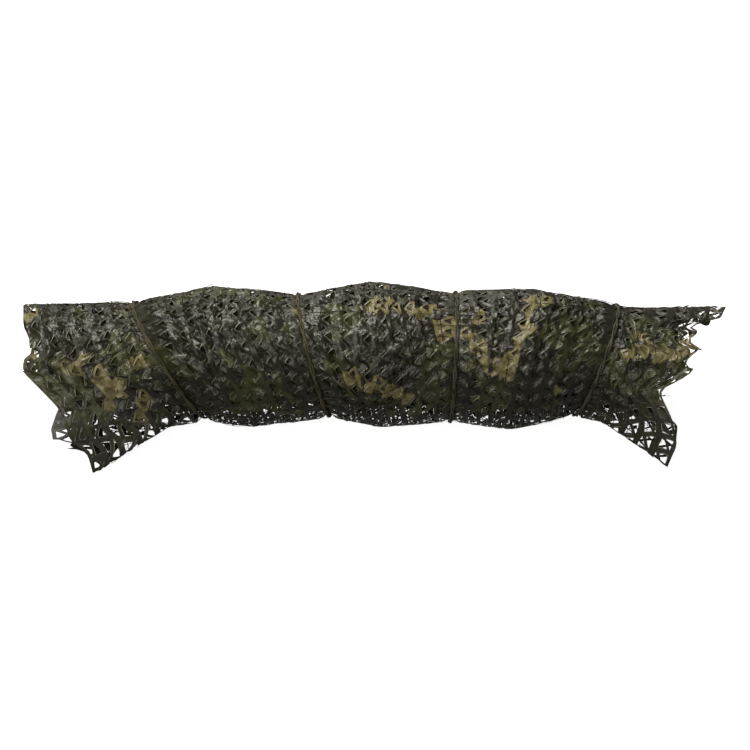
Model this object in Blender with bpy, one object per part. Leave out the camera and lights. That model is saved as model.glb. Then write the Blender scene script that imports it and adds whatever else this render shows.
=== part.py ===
"""Camouflage net, rolled up and bound with four twine ties, lying on its side.

Metres, +Z up, roll along X, resting on z = 0.  Angles round the roll are measured
in the Y-Z plane: 0 is the back (+Y), 90 the top, 180 the front (-Y), 270 the floor.
"""
import math

import bmesh
import bpy
import numpy as np

# ---------------------------------------------------------------- the wound net
ROLL_AXIS = (0.0, 0.190)      # Y and Z of the line the net is wound about
CROWN_ANGLE = 70.0            # direction in which every tied section leans outwards
POINTS_AROUND = 44            # corners of one section
RING_SPACING = 0.034          # distance between sections along the roll
WIND_GROWTH = 0.007           # radius gained in the outermost turn
FREE_EDGE_ANGLE = 318.0       # where the free edge of the outermost turn ends
GROOVE_WIDTH = 0.022          # level band that each tie lies in
REST_HEIGHT = 0.0             # the floor, on which the bulges and the ends lie flat

# One row per section of the bound part: where its crown side and its low side stand
# along the roll, and how far each lies from the roll axis.
SECTION_COLUMNS = ("crown_x", "low_x", "crown_radius", "low_radius")
SECTIONS = {
    "tie_1": (-0.684, -0.476, 0.151, 0.171),
    "shoulder_1": (-0.630, -0.440, 0.164, 0.188),
    "bulge_1": (-0.455, -0.300, 0.203, 0.195),
    "shoulder_2": (-0.275, -0.160, 0.186, 0.184),
    "tie_2": (-0.220, -0.125, 0.176, 0.166),
    "shoulder_3": (-0.165, -0.090, 0.190, 0.187),
    "bulge_2": (-0.010, 0.025, 0.216, 0.200),
    "shoulder_4": (0.175, 0.165, 0.198, 0.192),
    "tie_3": (0.228, 0.212, 0.186, 0.179),
    "shoulder_5": (0.280, 0.255, 0.192, 0.192),
    "bulge_3": (0.460, 0.400, 0.196, 0.205),
    "shoulder_6": (0.622, 0.530, 0.158, 0.178),
    "tie_4": (0.676, 0.577, 0.140, 0.162),
}
TIED_SECTIONS = ("tie_1", "tie_2", "tie_3", "tie_4")
# Past the last tie at each end the net springs back to this section, then flares.
LEFT_SPRING = (-0.725, -0.515, 0.150, 0.188)
RIGHT_SPRING = (0.720, 0.618, 0.142, 0.184)

# Rim of each open end: angle, distance from the roll axis, place along the roll.
MOUTH_COLUMNS = ("angle", "radius", "x")
LEFT_MOUTH = (
    (0, 0.190, -0.925),
    (30, 0.166, -0.970),
    (62, 0.152, -1.000),
    (90, 0.155, -0.985),
    (120, 0.165, -0.970),
    (142, 0.176, -0.950),
    (163, 0.190, -0.965),
    (177, 0.204, -0.920),
    (191, 0.236, -0.870),
    (204, 0.294, -0.835),
    (212, 0.358, -0.772),
    (220, 0.292, -0.790),
    (229, 0.251, -0.905),
    (245, 0.207, -0.925),
    (270, 0.190, -0.920),
    (300, 0.217, -0.895),
    (325, 0.290, -0.860),
    (344, 0.236, -0.900),
)
RIGHT_MOUTH = (
    (0, 0.190, 0.910),
    (30, 0.168, 0.960),
    (57, 0.152, 1.000),
    (76, 0.150, 0.965),
    (98, 0.154, 0.915),
    (122, 0.160, 0.875),
    (146, 0.172, 0.900),
    (160, 0.178, 0.865),
    (171, 0.182, 0.835),
    (184, 0.196, 0.785),
    (196, 0.242, 0.815),
    (205, 0.295, 0.825),
    (212, 0.344, 0.800),
    (228, 0.245, 0.850),
    (250, 0.203, 0.870),
    (272, 0.190, 0.865),
    (300, 0.217, 0.840),
    (328, 0.295, 0.840),
    (345, 0.236, 0.880),
)
FLARE_POWER = 0.95            # under 1 the flare opens early between the spring and the rim
RIM_WALL = 0.010              # thickness of the loose turns at the rim
THROAT_WALL = 0.030           # and where they meet the wound core
THROAT_SHARE = 0.40           # how far from spring (0) to rim (1) the core's end stands
MOUTH_RINGS = 5               # sections inside each open end
# End of the wound core: share of the throat radius, and how far it stands out.
CORE_STEPS = ((0.80, 0.000), (0.72, 0.022), (0.46, 0.028), (0.38, 0.050), (0.16, 0.056))

# ------------------------------------------------------------------------- ties
TWINE_WIDTH = 0.0100          # two strands laid side by side
TWINE_HEIGHT = 0.0056
TWINE_SIDES = 8
TWINE_CLEARANCE = 0.0006      # between the twine and the net below it
TWINE_TURNS = 9               # turns that the two strands make round each other
KNOT_ANGLE = 20.0             # where the knot sits, at the back
KNOT_SPAN = 9.0               # degrees round the roll that the knot takes
KNOT_SWELL = 0.85             # how much thicker than the twine the knot is

# ---------------------------------------------------------------------- colours
NET_COLOUR = (0.060, 0.060, 0.036)
TWINE_COLOUR = (0.150, 0.130, 0.070)
CLOTH_ROUGHNESS = 0.85


def around():
    """Angles of the corners of one section, in degrees."""
    return np.arange(POINTS_AROUND) * 360.0 / POINTS_AROUND


def crown_share(angles):
    """1 on the side that leans outwards, 0 on the side opposite."""
    return 0.5 + 0.5 * np.cos(np.radians(angles - CROWN_ANGLE))


def winding(angles):
    """How far the outermost turn has climbed by each angle, falling away at its free edge."""
    return WIND_GROWTH * (((angles - FREE_EDGE_ANGLE) % 360.0) / 360.0 - 0.5)


def bound_section(row):
    """Radius and place along the roll, at every angle, of one section of the bound part."""
    section = dict(zip(SECTION_COLUMNS, row))
    angles = around()
    share = crown_share(angles)
    radius = section["low_radius"] + (section["crown_radius"] - section["low_radius"]) * share
    along = section["low_x"] + (section["crown_x"] - section["low_x"]) * share
    return radius + winding(angles), along


def mouth_section(rows):
    """Radius and place along the roll of a rim, read round its table without a break."""
    table = {name: np.array(column, float) for name, column in zip(MOUTH_COLUMNS, zip(*rows))}
    angles = around()
    radius = np.interp(angles, table["angle"], table["radius"], period=360.0)
    along = np.interp(angles, table["angle"], table["x"], period=360.0)
    return radius, along


def section_points(radius, along):
    """Corners of a section, pressed level where they would go through the floor."""
    turn = np.radians(around())
    y = ROLL_AXIS[0] + radius * np.cos(turn)
    z = ROLL_AXIS[1] + radius * np.sin(turn)
    return np.stack([along, y, np.maximum(z, REST_HEIGHT)], axis=1)


def bound_rows():
    """The section table with each tie's row split in two, one at each side of its groove."""
    rows = []
    for name, row in SECTIONS.items():
        if name in TIED_SECTIONS:
            half = GROOVE_WIDTH / 2
            rows.append((row[0] - half, row[1] - half, row[2], row[3]))
            rows.append((row[0] + half, row[1] + half, row[2], row[3]))
        else:
            rows.append(row)
    return [LEFT_SPRING, *rows, RIGHT_SPRING]


def smooth_rows(rows):
    """Sections about RING_SPACING apart, through every row.

    Each column runs as a cubic whose slope at a row is the harmonic mean of the slopes
    on its two sides, or level at a peak or a valley, so nothing overshoots.
    """
    table = np.array(rows, float)
    place = table[:, 0:2].mean(axis=1)
    gap = np.diff(place)[:, None]
    rise = np.diff(table, axis=0) / gap
    product = rise[:-1] * rise[1:]
    total = rise[:-1] + rise[1:]
    inner = np.where(product > 0, 2 * product / np.where(total == 0, 1, total), 0.0)
    slope = np.vstack([rise[:1], inner, rise[-1:]])
    out = []
    for i in range(len(table) - 1):
        count = max(1, round(float(gap[i, 0]) / RING_SPACING))
        for t in np.arange(count) / count:
            a = (1 + 2 * t) * (1 - t) ** 2
            b = t * (1 - t) ** 2
            c = t * t * (3 - 2 * t)
            d = t * t * (t - 1)
            run = gap[i, 0]
            out.append(a * table[i] + b * run * slope[i] + c * table[i + 1] + d * run * slope[i + 1])
    out.append(table[-1])
    return out


def flared(spring, rim, share):
    """Section between the spring past the last tie (0) and the rim (1)."""
    spread = share ** FLARE_POWER
    radius = spring[0] + (rim[0] - spring[0]) * spread
    along = spring[1] + (rim[1] - spring[1]) * share
    return radius, along


def drawn_in(points, wall):
    """A section moved inwards by the wall, square to its own edges."""
    flat = points[:, 1:3]
    edge = np.roll(flat, -1, axis=0) - flat
    length = np.maximum(np.linalg.norm(edge, axis=1, keepdims=True), 1e-9)
    inward = np.stack([-edge[:, 1], edge[:, 0]], axis=1) / length
    before = np.roll(inward, 1, axis=0)
    both = inward + before
    mitre = both / np.maximum(1.0 + (inward * before).sum(axis=1, keepdims=True), 0.35)
    moved = points.copy()
    moved[:, 1:3] = flat + wall * mitre
    return moved


def mouth_rings(spring, rim):
    """Sections of an open end's inside, from the rim back to the wound core, and the core's end."""
    rings = []
    for t in np.linspace(1.0, THROAT_SHARE, MOUTH_RINGS):
        wall = RIM_WALL + (THROAT_WALL - RIM_WALL) * (1.0 - t) / (1.0 - THROAT_SHARE)
        rings.append(drawn_in(section_points(*flared(spring, rim, t)), wall))
    throat = rings[-1]
    centre = throat.mean(axis=0)
    outward = math.copysign(1.0, float(rim[1].mean()))
    for share, stand in CORE_STEPS:
        ring = centre + (throat - centre) * share
        ring[:, 0] += outward * stand
        rings.append(ring)
    return rings


def loft(rings, name):
    """Closed solid through rings of equal size, capped at both ends with a fan."""
    mesh = bpy.data.meshes.new(name)
    bm = bmesh.new()
    rows = [[bm.verts.new(tuple(p)) for p in ring] for ring in rings]
    count = len(rings[0])
    for a, b in zip(rows[:-1], rows[1:]):
        for i in range(count):
            j = (i + 1) % count
            bm.faces.new((a[i], a[j], b[j], b[i]))
    for ring, row in ((rings[0], rows[0]), (rings[-1], rows[-1])):
        hub = bm.verts.new(tuple(np.mean(ring, axis=0)))
        for i in range(count):
            bm.faces.new((row[i], row[(i + 1) % count], hub))
    bmesh.ops.triangulate(bm, faces=bm.faces[:], quad_method="SHORT_EDGE")
    bmesh.ops.recalc_face_normals(bm, faces=bm.faces[:])
    bm.to_mesh(mesh)
    bm.free()
    return mesh


def tube(path, first, second, name):
    """Closed loop whose elliptical section runs between the two half-axes at each path point."""
    turn = np.arange(TWINE_SIDES) * 2 * math.pi / TWINE_SIDES
    mesh = bpy.data.meshes.new(name)
    bm = bmesh.new()
    rows = []
    for p, a, b in zip(path, first, second):
        rows.append([bm.verts.new(tuple(p + a * math.cos(t) + b * math.sin(t))) for t in turn])
    for k, row in enumerate(rows):
        after = rows[(k + 1) % len(rows)]
        for i in range(TWINE_SIDES):
            j = (i + 1) % TWINE_SIDES
            bm.faces.new((row[i], row[j], after[j], after[i]))
    bmesh.ops.recalc_face_normals(bm, faces=bm.faces[:])
    bm.to_mesh(mesh)
    bm.free()
    return mesh


def twine_loop(row, name):
    """One tie: twine round the net in its groove, swelling to a plain knot at the back."""
    angles = around()
    points = section_points(*bound_section(row))
    tangent = np.roll(points, -1, axis=0) - np.roll(points, 1, axis=0)
    tangent /= np.linalg.norm(tangent, axis=1, keepdims=True)
    turn = np.radians(angles)
    out = np.stack([np.zeros_like(turn), np.cos(turn), np.sin(turn)], axis=1)
    out -= (out * tangent).sum(axis=1, keepdims=True) * tangent
    out /= np.linalg.norm(out, axis=1, keepdims=True)
    side = np.cross(tangent, out)
    away = np.abs((angles - KNOT_ANGLE + 180.0) % 360.0 - 180.0)
    swell = 1.0 + KNOT_SWELL * np.clip(1.0 - away / KNOT_SPAN, 0.0, 1.0)
    # The two strands go round each other, so the flat of the pair rocks as it goes along.
    rock = 0.5 - 0.5 * np.cos(turn * TWINE_TURNS)
    height = TWINE_HEIGHT / 2 * (1.0 + 0.25 * rock) * swell
    width = TWINE_WIDTH / 2 * (1.0 - 0.20 * rock) * swell
    lift = TWINE_CLEARANCE + height
    path = points + out * lift[:, None]
    return tube(path, out * height[:, None], side * width[:, None], name)


def cloth_material(name, colour):
    material = bpy.data.materials.new(name)
    material.use_nodes = True
    shader = material.node_tree.nodes["Principled BSDF"]
    shader.inputs["Base Color"].default_value = (*colour, 1.0)
    shader.inputs["Roughness"].default_value = CLOTH_ROUGHNESS
    shader.inputs["Metallic"].default_value = 0.0
    material.diffuse_color = (*colour, 1.0)
    return material


def add_part(name, mesh, material):
    mesh.materials.append(material)
    for face in mesh.polygons:
        face.use_smooth = True
    part = bpy.data.objects.new(name, mesh)
    bpy.context.scene.collection.objects.link(part)
    return part


def build():
    for old in list(bpy.data.objects):
        bpy.data.objects.remove(old, do_unlink=True)
    net = cloth_material("garnish_net", NET_COLOUR)
    twine = cloth_material("tie_twine", TWINE_COLOUR)

    left_spring, right_spring = bound_section(LEFT_SPRING), bound_section(RIGHT_SPRING)
    left_rim, right_rim = mouth_section(LEFT_MOUTH), mouth_section(RIGHT_MOUTH)
    left_run = float(np.abs(left_rim[1] - left_spring[1]).mean())
    flare_steps = max(3, round(left_run / RING_SPACING))
    shares = np.arange(1, flare_steps + 1) / flare_steps
    left = [section_points(*flared(left_spring, left_rim, t)) for t in shares[::-1]]
    right = [section_points(*flared(right_spring, right_rim, t)) for t in shares]
    bound = [section_points(*bound_section(row)) for row in smooth_rows(bound_rows())]
    inside_left = mouth_rings(left_spring, left_rim)[::-1]
    inside_right = mouth_rings(right_spring, right_rim)
    rings = inside_left + left + bound + right + inside_right
    add_part("net_roll", loft(rings, "net_roll"), net)

    for name in TIED_SECTIONS:
        add_part(name, twine_loop(SECTIONS[name], name), twine)


build()
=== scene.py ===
"""Rolled camouflage net: openwork turns, wound core, backing threads and twisted ties.

Lengths are in metres.  A place on the cloth is (column, row): columns run along the roll
from its left rim, rows run round it from the free edge of the outermost turn inwards.
Angles round the roll are in degrees from the back (+Y), over the top, to the front.
"""
import math

import bpy
import numpy as np
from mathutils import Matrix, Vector


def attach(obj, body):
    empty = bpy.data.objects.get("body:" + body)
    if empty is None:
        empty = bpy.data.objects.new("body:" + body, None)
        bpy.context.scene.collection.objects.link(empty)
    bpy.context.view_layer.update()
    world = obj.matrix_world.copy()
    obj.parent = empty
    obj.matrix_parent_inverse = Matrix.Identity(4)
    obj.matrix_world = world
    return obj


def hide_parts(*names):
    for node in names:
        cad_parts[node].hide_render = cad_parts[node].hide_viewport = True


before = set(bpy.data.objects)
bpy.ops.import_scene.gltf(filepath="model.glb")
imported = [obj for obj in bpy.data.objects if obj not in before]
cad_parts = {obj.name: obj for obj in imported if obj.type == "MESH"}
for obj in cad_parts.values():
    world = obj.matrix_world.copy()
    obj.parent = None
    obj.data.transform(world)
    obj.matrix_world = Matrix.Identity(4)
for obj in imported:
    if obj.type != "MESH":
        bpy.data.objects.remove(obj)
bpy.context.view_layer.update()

# ------------------------------------------------------------------ form of the roll
AXIS_HEIGHT = 0.190
CROWN_ANGLE = 70.0            # side on which the tied sections lean outwards
FREE_EDGE_ANGLE = 318.0       # where the free edge of the outermost turn lies
WIND_GROWTH = 0.007           # radius gained in one turn
GROOVE = 0.014                # level band under each tie
ROUNDING, ROUNDING_STEPS = 0.010, 5      # half length over which sections are averaged
FLARE_POWER = 0.95            # how the radius opens from the bound part to the rim
PAST_RIM = 1.15               # share of an open end to which its form runs on
LEFT_COLUMNS, BOUND_COLUMNS, RIGHT_COLUMNS = 6, 29, 5
COLUMNS = LEFT_COLUMNS + BOUND_COLUMNS + RIGHT_COLUMNS
TURN_ROWS = (28, 24, 22, 20)  # rows of leaves in each turn, from the outermost
TURN_STARTS = np.cumsum((0, *TURN_ROWS))
CELL_LENGTH, CELL_GIRTH = 0.050, 0.045   # one cell of the flat cloth

# Sections of the bound part: kind, place along the roll at the crown and at the low side
# opposite it, radius at the crown and at the low side.
SECTIONS = (
    ("left spring", -0.720, -0.512, 0.156, 0.191),
    ("tie", -0.684, -0.480, 0.152, 0.165),
    ("shoulder", -0.655, -0.458, 0.163, 0.184),
    ("bulge", -0.466, -0.344, 0.202, 0.197),
    ("shoulder", -0.242, -0.152, 0.182, 0.175),
    ("tie", -0.219, -0.130, 0.175, 0.161),
    ("shoulder", -0.196, -0.108, 0.180, 0.175),
    ("bulge", -0.006, 0.018, 0.216, 0.199),
    ("shoulder", 0.206, 0.190, 0.184, 0.184),
    ("tie", 0.228, 0.212, 0.179, 0.178),
    ("shoulder", 0.250, 0.234, 0.188, 0.185),
    ("bulge", 0.452, 0.384, 0.194, 0.206),
    ("shoulder", 0.660, 0.546, 0.154, 0.167),
    ("tie", 0.684, 0.566, 0.144, 0.160),
    ("right spring", 0.715, 0.590, 0.140, 0.177),
)
TIES = [row[1:] for row in SECTIONS if row[0] == "tie"]

# Rim of each open end: angle, distance from the axis, place along the roll.
LEFT_RIM = (
    (0, 0.186, -0.940), (30, 0.160, -0.975), (62, 0.147, -1.000), (90, 0.151, -0.985),
    (120, 0.163, -0.970), (134, 0.172, -0.950), (147, 0.180, -0.945), (152, 0.182, -0.968),
    (163, 0.190, -0.968), (177, 0.204, -0.920), (190, 0.230, -0.868), (201, 0.288, -0.838),
    (204, 0.302, -0.828), (206, 0.304, -0.782), (209, 0.350, -0.774), (212, 0.384, -0.768),
    (219, 0.280, -0.800), (226, 0.264, -0.895), (232, 0.242, -0.910), (245, 0.207, -0.925),
    (270, 0.190, -0.920), (300, 0.217, -0.905), (325, 0.290, -0.900), (344, 0.236, -0.920),
)
RIGHT_RIM = (
    (0, 0.186, 0.910), (30, 0.158, 0.960), (57, 0.142, 1.000), (76, 0.142, 0.990),
    (97, 0.147, 0.968), (107, 0.152, 0.958), (113, 0.154, 0.895), (121, 0.157, 0.868),
    (125, 0.158, 0.900), (131, 0.161, 0.866), (139, 0.165, 0.868), (142, 0.166, 0.900),
    (151, 0.170, 0.900), (154, 0.172, 0.868), (163, 0.176, 0.874), (171, 0.180, 0.834),
    (179, 0.186, 0.786), (184, 0.196, 0.785), (196, 0.242, 0.815), (205, 0.298, 0.828),
    (212, 0.352, 0.800), (228, 0.245, 0.850), (250, 0.203, 0.865), (272, 0.190, 0.835),
    (300, 0.217, 0.822), (328, 0.295, 0.840), (345, 0.236, 0.880),
)
RIM_SOFTNESS = 1.6            # degrees over which the rim's corners are rounded
INNER_MOUTH = 0.172           # radius of the mouth that the inner turns open to
FINE_STEP = 0.5               # degrees between the rows of a rim's fine table
FINE_ANGLES = np.arange(0, 360, FINE_STEP)

# Share of the rim's own outline that the cloth keeps, by turns wound in: on the spread
# skirts of the left and the right end, and on the close side, from the top to the front,
# where the turns lie together.
SKIRT_TURNS = (0.0, 0.82, 1.08, 1.80, 2.10, 2.80, 3.20)
SKIRT_KEPT = ((1.0, 1.0, 0.78, 0.70, 0.38, 0.36, 0.20), (1.0, 1.0, 0.15, 0.12, 0.10, 0.10, 0.10))
CLOSE_KEPT = ((0.0, 1.0, 1.6, 2.0, 3.2), (1.0, 1.0, 1.0, 0.9, 0.5))
CLOSE_SIDE, CLOSE_SPREAD = (150.0, 146.0), 68.0   # at the left and the right end

# How far the loose outer turn stands off the one below it: angle, gap.
SLACK = np.array((
    (0, 0.014), (30, 0.020), (60, 0.022), (85, 0.010), (110, 0.003), (150, 0.001),
    (172, 0.003), (188, 0.010), (205, 0.020), (225, 0.048), (240, 0.060), (270, 0.044),
    (300, 0.016), (318, 0.0), (340, 0.006),
))
SLACK_REACH = 0.045           # distance from a tie over which the gap opens
SLACK_PER_COLUMN = 0.02       # what each column of an open end adds to that distance
# Where, how much and past how many columns of an open end the gap closes at the front.
SHUT_SIDE, SHUT_SHARE, SHUT_COLUMNS = (166.0, 22.0), 0.75, 3.0

SHIFT_SIZE = 0.23             # cells by which the leaves are drawn out of line
RIM_COLUMNS, RIM_SHIFT = 1.5, 0.25       # columns from a rim in which that fades, share left
SAG_SIZE, CRUMPLE_SIZE = 0.0022, 0.0024  # heights of the cloth's unevenness
SMOOTH_REACH = 0.03           # distance from a tie over which the cloth is drawn smooth
PLEATS, PLEAT_DEPTH, PLEAT_REACH, PLEAT_WANDER = 26, 0.0030, 0.045, 1.5
FLOOR_GAP, FLOOR_STEP = 0.0008, 0.0030   # least height over the floor, more for each turn in

# The cloth is drawn flat along the top and the foot of the roll: angles, spread, share.
TAUT_TOP, TAUT_FOOT, TAUT_SPREAD, TAUT_SHARE = 58.0, 238.0, 24.0, 0.78

FRAME_STEP = 0.04             # cells over which a form's directions are taken
LEAST_STRETCH, MOST_STRETCH = 0.9, 1.55


def section_table():
    """The sections as numbers, with each tie's row doubled at the two sides of its groove."""
    rows = []
    for name, *numbers in SECTIONS:
        sides = (-GROOVE / 2, GROOVE / 2) if name == "tie" else (0.0,)
        rows += [(numbers[0] + s, numbers[1] + s, numbers[2], numbers[3]) for s in sides]
    return np.array(rows)


SECTION = section_table()
PLACE = SECTION[:, :2].mean(axis=1)
TIE_PLACES = np.array([(row[0] + row[1]) / 2 for row in TIES])


def section_at(place):
    """The four section numbers at any places: straight runs between the rows, each the
    mean over a short window, so that their corners are rounded."""
    place = np.asarray(place, float)
    window = np.linspace(-ROUNDING, ROUNDING, ROUNDING_STEPS)
    return np.stack([
        np.mean([np.interp(place + step, PLACE, column) for step in window], axis=0)
        for column in SECTION.T
    ], axis=-1)


def rim_lookup(rows):
    """Radius and place of a rim at each fine angle: straight runs between the rows,
    averaged with the weights of a bell curve, so that their corners are rounded."""
    table = np.array(rows, float)
    spread = np.exp(-0.5 * (np.minimum(FINE_ANGLES, 360 - FINE_ANGLES) / RIM_SOFTNESS) ** 2)
    blur = np.fft.rfft(spread / spread.sum())
    return [
        np.fft.irfft(np.fft.rfft(np.interp(FINE_ANGLES, table[:, 0], values, period=360)) * blur)
        for values in table.T[1:]
    ]


def at_angle(values, angle):
    """A fine table's value at any angle, straight between its rows."""
    return np.interp(angle % 360.0, FINE_ANGLES, values, period=360)


def even_rows(radius):
    """How far each part of a turn is moved round a rim (degrees), so that equal parts of
    the turn have equal lengths of the rim: its length is the running sum of its steps."""
    part = np.linspace(0, 1, len(FINE_ANGLES) + 1)
    wide = at_angle(radius, FREE_EDGE_ANGLE - 360 * part)
    step = np.hypot(wide[:-1] * math.radians(FINE_STEP), np.diff(wide))
    length = np.concatenate([[0], np.cumsum(step)])
    return part, 360 * (part - np.interp(part, length / length[-1], part))


RIMS = (rim_lookup(LEFT_RIM), rim_lookup(RIGHT_RIM))
EVEN_ROWS = [even_rows(rim[0]) for rim in RIMS]


class Ripples:
    """Smooth uneven field over the cloth: a sum of sines in seeded directions and phases,
    each of a wavelength near the given number of cells."""

    def __init__(self, seed, cells, count=9):
        draw = np.random.default_rng(seed)
        heading = draw.uniform(0, 2 * math.pi, count)
        length = 2 * math.pi / (cells * draw.uniform(0.7, 1.5, count))
        self.along = length * np.cos(heading)
        self.across = length * np.sin(heading)
        self.phase = draw.uniform(0, 2 * math.pi, count)
        self.size = math.sqrt(2 / count)

    def __call__(self, column, row):
        """The field at places on the cloth; its mean square is about 1."""
        total = np.zeros(np.broadcast(column, row).shape)
        for a, b, c in zip(self.along, self.across, self.phase):
            total += np.sin(a * column + b * row + c)
        return total * self.size


SHIFT_ALONG, SHIFT_ROUND = Ripples(3, 7.0), Ripples(4, 8.0)
SAG, CRUMPLE, PLEAT_PHASE = Ripples(5, 5.0), Ripples(6, 1.45), Ripples(7, 9.0)


def turned_from(angle, middle):
    """Signed difference of two angles, from -180 to 180 degrees."""
    return (angle - middle + 180.0) % 360.0 - 180.0


def hump(angle, middle, spread):
    """1 at the middle angle, falling to 0 over the spread, as a bell curve."""
    return np.exp(-((turned_from(angle, middle) / spread) ** 2))


def by_end(column, pair):
    """The first of a pair in the left half of the roll, the second in the right half."""
    return np.where(column < COLUMNS / 2, *pair)


def beyond(column):
    """Columns from the bound part out to a place in an open end; less than 0 within it."""
    return np.maximum(LEFT_COLUMNS - column, column - LEFT_COLUMNS - BOUND_COLUMNS)


def end_shares(column):
    """How far out a column lies in the left and in the right open end: 0 at the bound
    part, 1 at the rim, less than 0 on the other side."""
    right = column - LEFT_COLUMNS - BOUND_COLUMNS
    return (LEFT_COLUMNS - column) / LEFT_COLUMNS, right / RIGHT_COLUMNS


def in_bound(column):
    """True on the bound part of the roll."""
    return (column > LEFT_COLUMNS) & (column < COLUMNS - RIGHT_COLUMNS)


def turns_in(row):
    """Turns wound in from the free edge at each row; rows get fewer in the tighter turns."""
    outside = np.minimum(row, 0) / TURN_ROWS[0]
    return np.interp(row, TURN_STARTS, np.arange(len(TURN_STARTS))) + outside


def column_place(column):
    """Place along the roll of a column: even steps from the left spring to the right one,
    and no further in the open ends."""
    bound = np.clip((column - LEFT_COLUMNS) / BOUND_COLUMNS, 0, 1)
    return PLACE[0] + (PLACE[-1] - PLACE[0]) * bound


def tie_distance(column):
    """Distance along the roll from a column to the nearest tie."""
    return np.abs(np.asarray(column_place(column))[..., None] - TIE_PLACES).min(axis=-1)


def tie_hold(distance, reach):
    """1 at a tie, falling to 0 over the reach, as a bell curve of the distance."""
    return np.exp(-((distance / reach) ** 2))


def round_axis(along, radius, angle, height=AXIS_HEIGHT):
    """Points at a radius and an angle round the axis: the radius times cosine and sine."""
    turned = np.radians(angle)
    return np.stack([along, radius * np.cos(turned), height + radius * np.sin(turned)], -1)


def settle(points, floor=FLOOR_GAP):
    """The points, none of them lower than the floor given."""
    points[..., 2] = np.maximum(points[..., 2], floor)
    return points


def roll_form(column, angle, kept):
    """Place along the roll and distance from its axis, on the outer form of the roll.

    In the bound part both go between the crown's and the low side's value as the cosine
    of the angle; in an open end they run on from there to the rim.
    """
    crown_x, low_x, crown_r, low_r = np.moveaxis(section_at(column_place(column)), -1, 0)
    share = 0.5 + 0.5 * np.cos(np.radians(angle - CROWN_ANGLE))
    climb = ((angle - FREE_EDGE_ANGLE) % 360.0) / 360.0 - 0.5
    radius = low_r + (crown_r - low_r) * share + WIND_GROWTH * climb
    along = low_x + (crown_x - low_x) * share
    for (rim_radius, rim_x), out in zip(RIMS, end_shares(column)):
        out = np.clip(out, 0, PAST_RIM)
        wide = INNER_MOUTH + (at_angle(rim_radius, angle) - INNER_MOUTH) * kept
        radius = radius + (wide - radius) * out**FLARE_POWER
        along = along + (at_angle(rim_x, angle) - along) * out
    return along, radius


def slack(angle, column):
    """Gap under the outer turn: the table's, widest low at the front and none at the free
    edge; it closes at the ties and, in the open ends, mostly closes at the front."""
    gap = np.interp(angle % 360.0, *SLACK.T, period=360)
    outside = beyond(column)
    distance = tie_distance(column) + SLACK_PER_COLUMN * np.maximum(outside, 0)
    shut = 1 - SHUT_SHARE * np.clip(outside / SHUT_COLUMNS, 0, 1) * hump(angle, *SHUT_SIDE)
    return gap * shut * (1 - tie_hold(distance, SLACK_REACH))


def angle_at(column, row):
    """Angle round the roll of a place on the cloth: a full circle back for each turn wound
    in; in an open end the rows are spaced along its rim."""
    wound = turns_in(row)
    moved = sum(
        np.interp(wound % 1.0, *table) * np.clip(share, 0, 1)
        for share, table in zip(end_shares(column), EVEN_ROWS)
    )
    return FREE_EDGE_ANGLE + 360.0 * (1 - wound) + moved


def looseness(angle):
    """1 where the cloth may stand up, less where it is drawn flat."""
    taut = hump(angle, TAUT_TOP, TAUT_SPREAD) + hump(angle, TAUT_FOOT, TAUT_SPREAD)
    return 1 - TAUT_SHARE * taut


def flare_kept(wound, angle, column):
    """Share of the rim's outline kept: the skirts' table, and the close side's over a bell
    curve with a flat top."""
    side = by_end(column, CLOSE_SIDE)
    close = np.exp(-((turned_from(angle, side) / CLOSE_SPREAD) ** 4))
    skirt = by_end(column, [np.interp(wound, SKIRT_TURNS, kept) for kept in SKIRT_KEPT])
    return skirt + (np.interp(wound, *CLOSE_KEPT) - skirt) * close


def cloth_at(column, row, under=0.0):
    """Points of the wound cloth at (column, row), sunk a further `under` below it.

    The place is first drawn out of line by ripples.  The form's radius there is lessened
    by the turns outside it, the slack and the pleats of a tie (one plus a sine of the
    angle), and made uneven by sagging and crumpling ripples.
    """
    column, row = np.broadcast_arrays(np.asarray(column, float), np.asarray(row, float))
    near_tie = tie_distance(column)
    free = 1 - tie_hold(near_tie, SMOOTH_REACH)
    rim_ease = np.clip(np.minimum(column, COLUMNS - column) / RIM_COLUMNS, RIM_SHIFT, 1)
    moved_column = column + SHIFT_SIZE * SHIFT_ALONG(column, row) * rim_ease * free
    moved_row = row + SHIFT_SIZE * SHIFT_ROUND(column, row)
    wound = turns_in(moved_row)
    angle = angle_at(moved_column, moved_row)
    turn = np.floor(wound)
    along, radius = roll_form(moved_column, angle, flare_kept(wound, angle, column))
    sunk = turn * WIND_GROWTH + np.clip(turn, 0, 1) * slack(angle, column) + under
    uneven = SAG_SIZE * SAG(column, row) + CRUMPLE_SIZE * CRUMPLE(column, row)
    pleat = 1 + np.sin(np.radians(angle * PLEATS) + PLEAT_WANDER * PLEAT_PHASE(column, row))
    gathered = PLEAT_DEPTH * pleat * tie_hold(near_tie, PLEAT_REACH) / 2
    radius = radius - sunk + uneven * free * looseness(angle) - gathered
    return settle(round_axis(along, radius, angle), FLOOR_GAP + FLOOR_STEP * turn)


def unit(vectors):
    """The vectors divided by their lengths."""
    return vectors / np.maximum(np.linalg.norm(vectors, axis=-1, keepdims=True), 1e-9)


def cloth_frame(form, column, row):
    """Points of a form, and its unit directions along the roll, round it and outwards,
    from the differences of points a step either way."""
    here = form(column, row)
    along = form(column + FRAME_STEP, row) - form(column - FRAME_STEP, row)
    round_it = form(column, row + FRAME_STEP) - form(column, row - FRAME_STEP)
    return here, unit(along), unit(round_it), unit(np.cross(along, round_it))


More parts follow.
